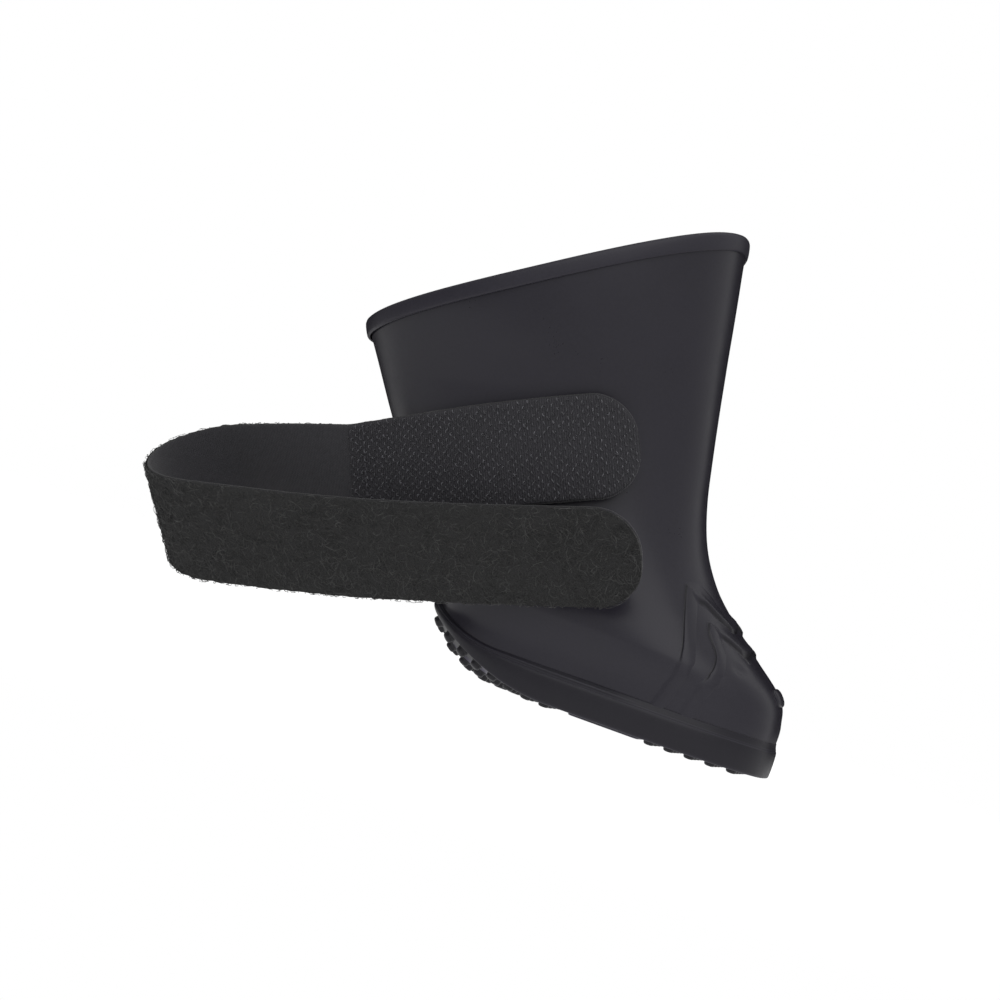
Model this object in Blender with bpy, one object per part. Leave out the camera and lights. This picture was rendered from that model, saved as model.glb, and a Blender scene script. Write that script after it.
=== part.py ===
"""Small rubber boot with a studded sole and a hook-and-loop ankle strap.

Frame: +Z up, the boot stands on its studs at z = 0, +X points to the toe, and the strap is on the -Y side.
The origin is on the flat waist pad under the middle of the sole. Lengths below are millimetres until they
reach a mesh, which holds metres.
"""
import math

import bmesh
import bpy
from mathutils import Matrix, Vector

MM = 0.001
GAP = 0.3                     # clearance between pieces that touch

# Boot
SEGMENTS = 40                 # points round the boot
LEVELS = 17                   # rings from the sole to the rim
FRONT_LINE = [(38.2, 4.9), (38.3, 9.0), (38.0, 14.0), (35.4, 20.4), (24.2, 29.4), (12.6, 40.2), (5.2, 53.8),
              (0.0, 76.6), (-8.0, 121.0)]      # toe, instep and shin in the middle plane (x, z)
REAR_LINE = [(-49.4, 13.6), (-50.0, 17.4), (-60.2, 30.0), (-77.2, 54.2), (-89.6, 72.4)]   # heel to rim
HALF_WIDTHS = [(0.0, 24.9), (0.05, 25.0), (0.14, 26.0), (0.35, 25.4), (0.55, 26.0), (1.0, 32.5)]
SOLE_SQUARENESS = 2.6         # superellipse exponent of the sole's outline
SHAFT_SQUARENESS = 2.15       # and of the shaft
TOE_FULLNESS = 0.06           # how much wider the forefoot is than the heel
MOUTH_DIP = 0.04              # how far the sides of the mouth dip, as a part of its fall from front to rear
WALL = 2.0                    # rubber of the upper
ARCH_END = -12.0              # the sole curls up to the heel behind this
HEEL_END = -49.6
HEEL_CURL = 8.5               # how far the top of the sole rises by the heel

# Sole
PLATE_TOP = 4.5
PLATE_BOTTOM = 1.2
EDGE_CURL = 15.5              # how far the edge of the sole rises by the heel,
EDGE_EASE = 0.22              # and how much of that its levelling out takes back
PLATE_EDGE_SHARE = 0.87       # the plate's edge stays this far inside the side wall as it rises
KEEL_START = -28.0            # the middle of the underside stays flat up to here
KEEL_LENGTH = 23.0
KEEL_CURL = 13.0
STUD_PITCH_X = 4.8
STUD_PITCH_Y = 5.2
STUD_RADIUS = 1.7
STUD_TIP_RADIUS = 1.25
STUD_EDGE = 2.6               # distance from the outermost studs' middles to the edge of the plate
HEEL_STUDS = (-46.6, -12.0)   # stretch of the sole that has heel studs
FORE_STUDS = (13.4, 36.0)
WAIST_PAD = (-8.6, 9.4, 15.0)  # from x, to x, half width
INSOLE_THICKNESS = 1.8

# Side wall
FOXING_BOTTOM = 0.9
FOXING_TOP = 9.0
FOXING_TOP_CURL = 6.4
FOXING_TOP_START = -27.0
FOXING_TOP_LENGTH = 22.0
FOXING_SECTION = [(0.45, 0.0), (1.35, 0.0), (1.7, 0.08), (1.8, 0.45), (1.62, 0.8), (1.95, 0.84), (1.95, 0.94),
                  (1.5, 1.0), (0.45, 1.0)]      # (outwards in mm, height as a fraction)

# Rim: (outwards, upwards) from the outer edge of the shell's mouth
RIM_SECTION = [(0.55, -3.2), (1.05, -3.1), (1.2, -1.4), (1.0, 0.6), (0.1, 1.3), (-2.1, 1.3), (-3.2, 0.7),
               (-3.4, -1.4), (-2.8, -1.6), (-2.75, 0.65), (0.55, 0.65)]

# Raised ribs, as (x, z) on the side of the foot, from the side wall up to the apex and on to the instep
RIB_SECTION = [(-1.6, 0.42), (-1.35, 0.95), (-0.7, 1.25), (0.7, 1.25), (1.35, 0.95), (1.6, 0.42)]
RIB_OUTER = [(13.6, 10.9), (14.8, 14.6), (15.9, 18.6), (15.95, 20.9), (15.2, 23.8), (13.4, 28.6), (10.8, 34.6),
             (11.4, 36.8), (13.8, 36.3)]
RIB_OUTER_FRONT = 0.284       # level at which the rib crosses the middle plane
RIB_INNER = [(20.5, 10.9), (21.6, 15.0), (22.9, 19.6), (22.9, 22.2), (21.9, 25.0), (19.4, 28.4), (18.4, 30.2),
             (19.8, 30.9), (22.4, 29.5)]
RIB_INNER_FRONT = 0.228
BUMPER_LEVEL = 0.123
BUMPER_REACH = 14.0           # degrees of the toe's curve on each side of the middle

# Strap: loop pile tape with a hook patch on its fixed end
STRAP_WIDTH = 25.0
WEB = 0.8
PILE = 0.9
PATCH = 1.2
PAD = 0.6
PAD_MARGIN = 3.0              # the bond pad is this much narrower than the tape on each side
ANCHOR_TIP = (-11.5, 65.6)    # end of the strap's middle line on the shaft (x, z)
ANCHOR_SLOPE = 23.8           # degrees that the fixed stretch falls towards the heel
BONDED = 43.0                 # length that lies on the shaft
PATCH_LENGTH = 74.0
RUN_SLOPE = 14.1
RUN_LENGTH = 28.0
BEND_RADIUS = 15.0
FOLD_TILT = 27.6              # the line that the strap folds about leans towards the heel by these degrees
FOLD_LEAN = 24.0              # and outwards by these
TAIL_START_SLOPE = 11.6       # degrees that the free tail rises towards the toe, at the fold
TAIL_SLOPE = 16.9             # and further along
TAIL_SETTLE = 75.0            # length over which it changes
TAIL_YAW = 1.8                # degrees that it turns outwards
TAIL_LEAN = 28.0              # degrees that its upper edge leans outwards
TAIL_LENGTH = 108.0
END_CORNER = 11.0             # corner radius of the strap's ends
CORNER_STEPS = 5
HINGE_GAP = 1.0               # half the gap left between two stretches at a hinge
PATCH_MARGIN = 0.4            # the hook patch is this much smaller than the tape all round
STITCH = 0.5                  # height of the thread row
STITCH_WIDTH = 0.8
STITCH_BACK = 3.6             # distance from the end of the patch to the thread row
STITCH_MARGIN = 2.5           # and from the row's ends to the edges of the tape
COLUMNS = 4                   # strips that a stretch is divided into across its width

COLOURS = {
    "rubber": ((0.034, 0.032, 0.038), 0.42),
    "sole_rubber": ((0.030, 0.029, 0.033), 0.48),
    "woven_tape": ((0.026, 0.026, 0.028), 0.85),
    "loop_pile": ((0.022, 0.022, 0.022), 0.95),
    "hook_tape": ((0.026, 0.026, 0.028), 0.6),
    "thread": ((0.03, 0.03, 0.032), 0.7),
    "foam": ((0.05, 0.05, 0.055), 0.9),
}


# ---------- scene helpers ----------

def clear_scene():
    for obj in list(bpy.data.objects):
        bpy.data.objects.remove(obj, do_unlink=True)


def material(piece, kind):
    """A Principled material of the piece's own."""
    colour, roughness = COLOURS[kind]
    mat = bpy.data.materials.new(piece + "_" + kind)
    mat.use_nodes = True
    shader = mat.node_tree.nodes["Principled BSDF"]
    shader.inputs["Base Color"].default_value = (*colour, 1)
    shader.inputs["Roughness"].default_value = roughness
    return mat


def add_object(name, bm, kind, pivot=None):
    """Turns a bmesh in millimetres into an object in metres, its origin on its pivot if it has one."""
    at = pivot.matrix_world.translation if pivot else Vector((0, 0, 0))
    bmesh.ops.scale(bm, vec=(MM, MM, MM), verts=bm.verts)
    bmesh.ops.translate(bm, vec=-at, verts=bm.verts)
    bmesh.ops.recalc_face_normals(bm, faces=bm.faces)
    mesh = bpy.data.meshes.new(name)
    bm.to_mesh(mesh)
    bm.free()
    mesh.shade_smooth()
    mesh.set_sharp_from_angle(angle=math.radians(35))
    obj = bpy.data.objects.new(name, mesh)
    bpy.context.scene.collection.objects.link(obj)
    if kind:
        mesh.materials.append(material(name, kind))
    if pivot:
        obj.parent = pivot
    return obj


def add_pivot(name, at, parent=None):
    """An empty on a joint's axis, which the moving pieces hang from."""
    empty = bpy.data.objects.new(name, None)
    bpy.context.scene.collection.objects.link(empty)
    empty.empty_display_size = 0.01
    place = Vector(at) * MM
    if parent:
        empty.parent = parent
        place = place - parent.matrix_world.translation
    empty.location = place
    bpy.context.view_layer.update()
    return empty


def loft(rings, wrap=False, caps=True):
    """A bmesh skin over closed rings of points. wrap joins the last ring to the first."""
    bm = bmesh.new()
    rows = [[bm.verts.new(p) for p in ring] for ring in rings]
    count = len(rows[0])
    for i in range(len(rows) if wrap else len(rows) - 1):
        low, high = rows[i], rows[(i + 1) % len(rows)]
        for j in range(count):
            k = (j + 1) % count
            bm.faces.new((low[j], low[k], high[k], high[j]))
    if caps and not wrap:
        bm.faces.new(rows[0][::-1])
        bm.faces.new(rows[-1])
    return bm


# ---------- curves ----------

def smooth_line(points, t):
    """A point on the smooth curve through the points, t from 0 to 1 along its length."""
    points = [Vector(p) for p in points]
    lengths = [(b - a).length for a, b in zip(points, points[1:])]
    left = max(0.0, min(1.0, t)) * sum(lengths)
    i = 0
    while i < len(lengths) - 1 and left > lengths[i]:
        left -= lengths[i]
        i += 1
    u = left / lengths[i]
    p1, p2 = points[i], points[i + 1]
    p0 = points[i - 1] if i else p1 * 2 - p2
    p3 = points[i + 2] if i + 2 < len(points) else p2 * 2 - p1
    return (p1 * 2 + (p2 - p0) * u + (p0 * 2 - p1 * 5 + p2 * 4 - p3) * u ** 2
            + (p1 * 3 - p0 - p2 * 3 + p3) * u ** 3) / 2


def ease(x):
    x = max(0.0, min(1.0, x))
    return x * x * (3 - 2 * x)


def signed_power(value, power):
    return math.copysign(abs(value) ** power, value)


def half_width(level):
    for (a, wa), (b, wb) in zip(HALF_WIDTHS, HALF_WIDTHS[1:]):
        if level <= b:
            return wa + (wb - wa) * ease((level - a) / (b - a))
    return HALF_WIDTHS[-1][1]


def curl(x, start=ARCH_END, length=ARCH_END - HEEL_END):
    """0 along the flat of the sole, growing to 1 at the end of the heel."""
    return (max(0.0, start - x) / length) ** 2


# ---------- boot shape ----------

def ring_shape(level):
    """Front point, rear point, half width and squareness of the boot's section at a level, 0 sole to 1 rim."""
    front = smooth_line(FRONT_LINE, level)
    rear = smooth_line(REAR_LINE, math.sin(level * math.pi / 2) ** 1.35)
    square = SOLE_SQUARENESS + (SHAFT_SQUARENESS - SOLE_SQUARENESS) * ease(level / 0.5)
    return front, rear, half_width(level), square


def height_at(level, x, front, rear):
    """Height of a section at x: it follows the curled sole low down, and is a flat slanting cut higher up."""
    along = (front.x - x) / (front.x - rear.x)
    flat = ease(level / 0.3)
    along += MOUTH_DIP * ease(level * 2 - 1) * math.sin(math.pi * max(0.0, min(1.0, along)))
    return front.y + (rear.y - front.y) * ((1 - flat) * curl(x) + flat * along)


def boot_point(level, turn, grow=0.0):
    """A point on the upper's outer surface. turn is the angle round it: 0 at the toe, -90 degrees on -Y."""
    front, rear, width, square = ring_shape(level)
    c, s = math.cos(turn), math.sin(turn)
    x = (front.x + rear.x) / 2 + ((front.x - rear.x) / 2 + grow) * signed_power(c, 2 / square)
    full = 1 + TOE_FULLNESS * c * (1 - ease(level / 0.3))
    y = (width * full + grow) * signed_power(s, 2 / square)
    return Vector((x, y, height_at(level, x, front, rear)))


def boot_normal(level, turn):
    step = 0.004
    up = boot_point(min(1, level + step), turn) - boot_point(max(0, level - step), turn)
    across = boot_point(level, turn + step) - boot_point(level, turn - step)
    return across.cross(up).normalized()


def level_of(x, z):
    """The level whose section passes through (x, z)."""
    low, high = 0.0, 1.0
    for _ in range(40):
        level = (low + high) / 2
        front, rear, _, _ = ring_shape(level)
        if height_at(level, x, front, rear) < z:
            low = level
        else:
            high = level
    return level


def turn_at(level, x):
    """The angle on the -Y side at which a section reaches x."""
    front, rear, _, square = ring_shape(level)
    part = (x - (front.x + rear.x) / 2) / ((front.x - rear.x) / 2)
    part = max(-0.9999, min(0.9999, part))
    return -math.acos(signed_power(part, square / 2))


def side_of_boot(x, z):
    """How far the boot reaches in -Y at (x, z)."""
    level = level_of(x, z)
    return -boot_point(level, turn_at(level, x)).y


def turns():
    return [2 * math.pi * i / SEGMENTS for i in range(SEGMENTS)]


# ---------- boot pieces ----------

def make_upper():
    rings = [[boot_point(i / (LEVELS - 1), a) for a in turns()] for i in range(LEVELS)]
    shell = add_object("upper_shell", loft(rings, caps=False), "rubber")
    wall = shell.modifiers.new("wall", "SOLIDIFY")
    wall.thickness = WALL * MM
    wall.offset = -1
    wall.use_even_offset = True


def make_rim():
    def ring(outwards, upwards):
        points = []
        for a in turns():
            edge = boot_point(1, a)
            up = (edge - boot_point(0.99, a)).normalized()
            out = boot_normal(1, a)
            points.append(edge + out * outwards + up * upwards)
        return points
    add_object("rim_band", loft([ring(*p) for p in RIM_SECTION], wrap=True), "rubber")


def edge_rise(x):
    """How far the edge of the sole has curled up at x."""
    c = curl(x)
    return EDGE_CURL * c * (1 - EDGE_EASE * c)


def foxing_heights(x):
    low = FOXING_BOTTOM + edge_rise(x)
    high = FOXING_TOP + FOXING_TOP_CURL * curl(x, FOXING_TOP_START, FOXING_TOP_LENGTH)
    return low, high


def make_foxing():
    def ring(outwards, part):
        points = []
        for a in turns():
            p = boot_point(0, a, grow=outwards)
            low, high = foxing_heights(p.x)
            points.append(Vector((p.x, p.y, low + (high - low) * part)))
        return points
    add_object("foxing_band", loft([ring(*p) for p in FOXING_SECTION], wrap=True), "rubber")


def plate_width(x):
    """Half width of the sole plate at x."""
    return abs(boot_point(0, turn_at(0, x)).y)


def underside(x, y):
    """Height of the plate's lower face: flat in front, a shallow bowl at the heel."""
    keel = PLATE_BOTTOM + KEEL_CURL * (max(0.0, KEEL_START - x) / KEEL_LENGTH) ** 2.3
    edge = PLATE_BOTTOM + PLATE_EDGE_SHARE * edge_rise(x)
    side = min(1.0, abs(y) / max(plate_width(x), 1.0))
    return keel + (edge - keel) * side ** 2.2


def underside_normal(x, y):
    step = 0.5
    dx = (underside(x + step, y) - underside(x - step, y)) / (2 * step)
    dy = (underside(x, y + step) - underside(x, y - step)) / (2 * step)
    return Vector((dx, dy, -1)).normalized()


def disc(height, shrinks, grow):
    """Rings of points inside the sole's outline, at the height that a function gives."""
    front, rear, _, _ = ring_shape(0)
    middle = Vector(((front.x + rear.x) / 2, 0))
    rings = []
    for shrink in shrinks:
        ring = []
        for a in turns():
            p = boot_point(0, a, grow=grow)
            x, y = middle.x + (p.x - middle.x) * shrink, p.y * shrink
            ring.append(Vector((x, y, height(x, y))))
        rings.append(ring)
    return rings


def plate_top(x, y):
    return PLATE_TOP + HEEL_CURL * curl(x)


def stud_places():
    """Middles of the studs: the outermost follow the edge of the sole, and every other column is staggered."""
    for start, end in (HEEL_STUDS, FORE_STUDS):
        columns = int((end - start) / STUD_PITCH_X) + 1
        for i in range(columns):
            x = start + i * STUD_PITCH_X
            reach = plate_width(x) - STUD_EDGE
            gaps = round(2 * reach / STUD_PITCH_Y)
            gaps += (gaps + i) % 2
            for j in range(gaps + 1):
                yield x, reach * (2 * j / gaps - 1)


def add_stud(bm, x, y):
    """A short tapered stud that stands square on the underside, rooted inside the plate."""
    out = underside_normal(x, y)
    foot = Vector((x, y, underside(x, y)))
    turn = out.to_track_quat("Z", "Y").to_matrix().to_4x4()
    depth = PLATE_BOTTOM + 0.6
    place = Matrix.Translation(foot + out * (PLATE_BOTTOM - depth / 2)) @ turn
    bmesh.ops.create_cone(bm, cap_ends=True, segments=8, radius1=STUD_RADIUS, radius2=STUD_TIP_RADIUS,
                          depth=depth, matrix=place)


def make_outsole():
    steps = [0.02, 0.35, 0.62, 0.84, 1.0]
    top = disc(plate_top, steps, 0.1)
    bottom = disc(underside, steps[::-1], 0.1)
    plate = add_object("outsole", loft(top + bottom), "sole_rubber")
    tread = bmesh.new()
    for x, y in stud_places():
        add_stud(tread, x, y)
    start, end, reach = WAIST_PAD
    size = Matrix.Diagonal((end - start, 2 * reach, 2.0, 1))
    bmesh.ops.create_cube(tread, size=1, matrix=Matrix.Translation(((start + end) / 2, 0, 1.0)) @ size)
    cutter = add_object("tread_shape", tread, None)
    cutter.hide_render = True
    cutter.display_type = "WIRE"
    union = plate.modifiers.new("tread", "BOOLEAN")
    union.operation = "UNION"
    union.solver = "EXACT"
    union.object = cutter


def make_insole():
    def low(x, y):
        return plate_top(x, y) + GAP

    def high(x, y):
        return plate_top(x, y) + GAP + INSOLE_THICKNESS
    inside = -WALL - 1.0
    steps = [0.02, 0.5, 1.0]
    add_object("insole", loft(disc(high, steps, inside) + disc(low, steps[::-1], inside)), "foam")


def strip_on_boot(name, places, section):
    """A raised strip along (level, turn) places on the upper."""
    points = [boot_point(*p) for p in places]
    rings = []
    for i, (point, place) in enumerate(zip(points, places)):
        ahead = points[min(i + 1, len(points) - 1)] - points[max(i - 1, 0)]
        out = boot_normal(*place)
        side = out.cross(ahead).normalized()
        rings.append([point + side * u + out * v for u, v in section])
    add_object(name, loft(rings), "rubber")


def rib_places(outline, front_level):
    """The rib's route: up one side, over the instep and down the other."""
    corners = []
    for x, z in outline:
        level = level_of(x, z)
        corners.append((level, turn_at(level, x)))
    corners.append((front_level, 0.0))
    mirrored = [(level, -turn) for level, turn in corners[-2::-1]]
    whole = corners + mirrored
    steps = 5 * (len(whole) - 1)
    return [tuple(smooth_line(whole, i / steps)) for i in range(steps + 1)]


def make_ribs():
    strip_on_boot("instep_rib_outer", rib_places(RIB_OUTER, RIB_OUTER_FRONT), RIB_SECTION)
    strip_on_boot("instep_rib_inner", rib_places(RIB_INNER, RIB_INNER_FRONT), RIB_SECTION)
    reach = math.radians(BUMPER_REACH)
    places = [(BUMPER_LEVEL, reach * (i / 5 - 1)) for i in range(11)]
    strip_on_boot("toe_bumper", places, RIB_SECTION)


# ---------- strap ----------

class Station:
    """One place along the strap: middle of the web, direction along it, a straight line across it, and the
    direction out of the pile face. The line across may be slanted, as round a fold, and is longer for it."""

    def __init__(self, at, along, across):
        self.at = at
        self.along = along.normalized()
        face = self.along.cross(across)
        self.pile = face.normalized()
        self.across = across / face.length


def slanted(tilt, lean=0.0):
    """A line across the strap: tilted towards the heel, and leaning outwards, from vertical."""
    tilt, lean = math.radians(tilt), math.radians(lean)
    return Vector((-math.sin(tilt) * math.cos(lean), -math.sin(lean), math.cos(tilt) * math.cos(lean)))


def anchor_stations():
    """The fixed stretch: it lies along the shaft, then leaves it in a straight line."""
    a = math.radians(ANCHOR_SLOPE)
    down = Vector((-math.cos(a), 0, -math.sin(a)))
    lift = GAP + PAD + GAP + PILE + GAP + WEB / 2
    half = STRAP_WIDTH / 2 - 1.5
    across = slanted(ANCHOR_SLOPE)
    stations = []
    steps = 12
    for i in range(steps + 1):
        p = Vector((ANCHOR_TIP[0], 0, ANCHOR_TIP[1])) + down * (BONDED * i / steps)
        upper = side_of_boot(p.x + across.x * half, p.z + across.z * half)
        lower = side_of_boot(p.x - across.x * half, p.z - across.z * half)
        middle = max(side_of_boot(p.x, p.z), (upper + lower) / 2)
        lean = (Vector((across.x, 0, across.z)) * 2 * half + Vector((0, lower - upper, 0))).normalized()
        stations.append((Vector((p.x, -middle - lift, p.z)), lean))
    result = []
    for i, (at, lean) in enumerate(stations):
        ahead = stations[min(i + 1, steps)][0] - stations[max(i - 1, 0)][0]
        result.append(Station(at, ahead, lean))
    return result


def heading(slope, yaw, towards):
    """A direction that rises by slope and turns outwards by yaw, going towards the toe (1) or the heel (-1)."""
    slope, yaw = math.radians(slope), math.radians(yaw)
    return Vector((math.cos(slope) * math.cos(yaw), -math.sin(yaw), math.sin(slope))) * towards


def straight(start, along, across0, across1, length, steps):
    return [Station(start + along * (length * i / steps), along, across0.lerp(across1, i / steps))
            for i in range(steps + 1)]


def bend_stations(start, begin, finish, fold, steps=20):
    """The strap winding round a line along fold, from one direction to the other, through the -X side."""
    first = (begin - fold * begin.dot(fold)).normalized()
    side = fold.cross(first)
    last = (finish - fold * finish.dot(fold)).normalized()
    sweep = math.atan2(last.dot(side), last.dot(first)) % (2 * math.pi)
    stations = []
    at = start.copy()
    for i in range(steps + 1):
        part = i / steps
        rise = begin.dot(fold) * (1 - part) + finish.dot(fold) * part
        round_line = first * math.cos(sweep * part) + side * math.sin(sweep * part)
        along = fold * rise + round_line * math.sqrt(1 - rise * rise)
        if stations:
            at = at + (along + stations[-1].along) / 2 * (BEND_RADIUS * sweep / steps)
        stations.append(Station(at.copy(), along, fold))
    return stations


def tail_stations(start, across, steps=14):
    """The free tail: it levels out of the fold and rises towards the toe."""
    stations = []
    at = start.copy()
    for i in range(steps + 1):
        settled = ease(TAIL_LENGTH * i / steps / TAIL_SETTLE)
        slope = TAIL_START_SLOPE + (TAIL_SLOPE - TAIL_START_SLOPE) * settled
        along = heading(slope, TAIL_YAW, 1)
        if stations:
            at = at + (along + stations[-1].along) / 2 * (TAIL_LENGTH / steps)
        stations.append(Station(at.copy(), along, across.lerp(slanted(slope, TAIL_LEAN), settled)))
    return stations


def strap_stations():
    """Stations of the four stretches: anchor, run, bend and tail."""
    bonded = anchor_stations()
    leave = bonded[-1]
    plain, fold = slanted(ANCHOR_SLOPE), slanted(FOLD_TILT, FOLD_LEAN)
    free = straight(leave.at, leave.along, leave.across, plain, PATCH_LENGTH - BONDED, 5)
    anchor = bonded + free[1:]
    away = math.degrees(math.asin(leave.along.y))
    run = straight(anchor[-1].at, heading(RUN_SLOPE, away, -1), plain, fold, RUN_LENGTH, 6)
    finish = heading(TAIL_START_SLOPE, TAIL_YAW, 1)
    bend = bend_stations(run[-1].at, run[-1].along, finish, fold)
    tail = tail_stations(bend[-1].at, fold)
    return {"anchor": anchor, "run": run, "bend": bend, "tail": tail}


def cut_back(stations, start, end):
    """The stretch with its first and last stations moved in, to leave room at the hinges."""
    cut = list(stations)
    first, last = stations[0], stations[-1]
    if start:
        cut[0] = Station(first.at + first.along * start, first.along, first.across)
    if end:
        cut[-1] = Station(last.at - last.along * end, last.along, last.across)
    return cut


def station_at(stations, distance):
    """The place a distance along a stretch, between the two nearest of its stations."""
    for a, b in zip(stations, stations[1:]):
        step = (b.at - a.at).length
        if distance <= step:
            break
        distance -= step
    part = distance / step
    return Station(a.at.lerp(b.at, part), a.along.lerp(b.along, part), a.across.lerp(b.across, part))


def rounded_end(stations, half, at_start):
    """Half widths along a stretch whose free end has rounded corners, with stations added along the corners."""
    path = stations if at_start else stations[::-1]
    placed = []
    for i in range(CORNER_STEPS + 1):
        back = END_CORNER * (1 - math.cos(math.pi / 2 * i / CORNER_STEPS))
        inset = END_CORNER - math.sqrt(max(0.0, END_CORNER ** 2 - (END_CORNER - back) ** 2))
        placed.append((station_at(path, back), half - inset))
    placed += [(s, half) for s in path if (s.at - path[0].at).length > END_CORNER + 1]
    return placed if at_start else placed[::-1]


def ribbon(name, placed, low, high, kind, pivot=None):
    """A flat solid along the strap, between two heights above the middle of the web towards the pile."""
    rings = []
    for s, half in placed:
        widths = [half * (2 * i / COLUMNS - 1) for i in range(COLUMNS + 1)]
        under = [s.at + s.across * w + s.pile * low for w in widths]
        over = [s.at + s.across * w + s.pile * high for w in widths[::-1]]
        rings.append(under + over)
    add_object(name, loft(rings), kind, pivot)


def make_strap():
    stretches = strap_stations()
    run_pivot = add_pivot("strap_run_pivot", stretches["run"][0].at)
    bend_pivot = add_pivot("strap_bend_pivot", stretches["bend"][0].at, run_pivot)
    tail_pivot = add_pivot("strap_tail_pivot", stretches["tail"][0].at, bend_pivot)
    pivots = {"anchor": None, "run": run_pivot, "bend": bend_pivot, "tail": tail_pivot}
    half = STRAP_WIDTH / 2
    for name, stations in stretches.items():
        start = 0 if name == "anchor" else HINGE_GAP
        end = 0 if name == "tail" else HINGE_GAP
        cut = cut_back(stations, start, end)
        placed = [(s, half) for s in cut]
        if name in ("anchor", "tail"):
            placed = rounded_end(cut, half, name == "anchor")
        face = WEB / 2
        ribbon("strap_web_" + name, placed, -face, face, "woven_tape", pivots[name])
        ribbon("strap_pile_" + name, placed, face + GAP, face + GAP + PILE, "loop_pile", pivots[name])

    anchor = stretches["anchor"]
    base = -WEB / 2 - GAP
    patch = rounded_end(cut_back(anchor, 0, HINGE_GAP + PATCH_MARGIN), half - PATCH_MARGIN, True)
    ribbon("hook_patch", patch, base - PATCH, base, "hook_tape")
    row = anchor[-1]
    ends = [Station(row.at - row.along * back, row.along, row.across)
            for back in (STITCH_BACK + STITCH_WIDTH, STITCH_BACK)]
    deep = base - PATCH - GAP
    ribbon("patch_stitching", [(s, half - STITCH_MARGIN) for s in ends], deep - STITCH, deep, "thread")
    make_pad(anchor)


def make_pad(anchor):
    """The layer between the shaft and the strap: one face follows the strap, the other the boot."""
    base = WEB / 2 + GAP + PILE + GAP
    half = STRAP_WIDTH / 2 - PAD_MARGIN
    rings = []
    for s in anchor[2:11]:
        on_strap = [s.at + s.across * (half * w) + s.pile * base for w in (-1, -0.33, 0.33, 1)]
        on_boot = [Vector((p.x, -side_of_boot(p.x, p.z) - GAP, p.z)) for p in on_strap]
        rings.append(on_strap + on_boot[::-1])
    add_object("strap_bond_pad", loft(rings), "sole_rubber")


def main():
    clear_scene()
    make_upper()
    make_rim()
    make_foxing()
    make_outsole()
    make_insole()
    make_ribs()
    make_strap()


main()
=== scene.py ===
"""Small rubber boot with a hook-and-loop ankle strap: its looks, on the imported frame.

Frame: +Z up, +X to the toe, the strap on the -Y side, the sole's waist pad on z = 0. Lengths are millimetres
until they reach a mesh, a camera or a light.
"""
import math
import random

import bpy
from mathutils import Matrix, Vector, noise


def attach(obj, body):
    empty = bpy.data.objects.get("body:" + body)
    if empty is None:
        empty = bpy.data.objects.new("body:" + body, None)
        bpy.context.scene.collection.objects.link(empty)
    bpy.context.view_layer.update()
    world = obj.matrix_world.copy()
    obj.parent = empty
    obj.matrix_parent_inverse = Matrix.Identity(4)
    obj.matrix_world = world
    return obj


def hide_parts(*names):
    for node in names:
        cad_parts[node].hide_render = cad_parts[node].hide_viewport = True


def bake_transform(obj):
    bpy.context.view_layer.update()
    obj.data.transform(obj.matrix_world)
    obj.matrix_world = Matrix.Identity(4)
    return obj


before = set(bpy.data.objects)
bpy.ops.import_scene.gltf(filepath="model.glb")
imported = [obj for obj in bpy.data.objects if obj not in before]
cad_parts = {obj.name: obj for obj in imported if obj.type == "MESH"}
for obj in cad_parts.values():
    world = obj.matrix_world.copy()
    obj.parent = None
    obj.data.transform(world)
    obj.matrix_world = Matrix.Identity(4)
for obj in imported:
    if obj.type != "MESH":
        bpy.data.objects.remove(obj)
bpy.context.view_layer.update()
rng = random.Random(11)
MM = 0.001

# Camera, at the angle of the photograph
VIEW_TURNS = (14.0, -1.0, 19.25)  # yaw, rise, roll
VIEW_TARGET = Vector((-44.75, 0, 43.0))
VIEW_DISTANCE = 700.0
LENS = 103.0
SENSOR = 36.0
CLIP = (0.02, 20.0)  # metres

# Boot, as the CAD's shape rules have it; a level goes from 0 at the sole to 1 at the mouth
FRONT_LINE = [(38.2, 4.9), (38.3, 9.0), (38.0, 14.0), (35.4, 20.4), (24.2, 29.4), (12.6, 40.2), (5.2, 53.8),
              (0.0, 76.6), (-8.0, 121.0)]
REAR_LINE = [(-49.4, 13.6), (-50.0, 17.4), (-60.2, 30.0), (-77.2, 54.2), (-89.6, 72.4)]
REAR_PACE = 1.35  # the way up the rear line is slow at first
HALF_WIDTHS = [(0.0, 24.9), (0.05, 25.0), (0.14, 26.0), (0.35, 25.4), (0.55, 26.0), (1.0, 32.5)]
SOLE_SQUARENESS = 2.6
SHAFT_SQUARENESS = 2.15
SQUARE_UNTIL = 0.5  # the level where the shaft's squareness starts
TOE_FULLNESS = 0.06
SOLE_UNTIL = 0.3  # the level where the sole's curl and the toe's fullness end
MOUTH_DIP = 0.04
WALL = 2.0
ARCH_END = -12.0
HEEL_END = -49.6
HEEL_CURL = 8.5

# Sole and side wall
PLATE_TOP = 4.5
PLATE_BOTTOM = 1.2
KEEL_START = -28.0
KEEL_LENGTH = 23.0
KEEL_CURL = 13.0
KEEL_POWER = 2.3
SIDE_POWER = 2.6
STUD_PITCH = (4.8, 5.2)
STUD_EDGE = 2.6
HEEL_STUDS = (-46.6, -12.0)
FORE_STUDS = (13.4, 36.0)
WAIST_PAD = (-8.6, 9.4, 15.0)  # its two ends and its half width
PAD_CORNER = 1.6
PAD_SECTION = [(0.0, 1.9), (0.0, 0.35), (0.12, 0.1), (0.35, 0.0)]  # (inset, height)
FOXING_BOTTOM = 0.9
FOXING_TOP = 9.0
EDGE_CURL = 15.5
EDGE_EASE = 0.22
FOXING_TOP_CURL = (6.4, -27.0, 22.0)  # height, start, length

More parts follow.
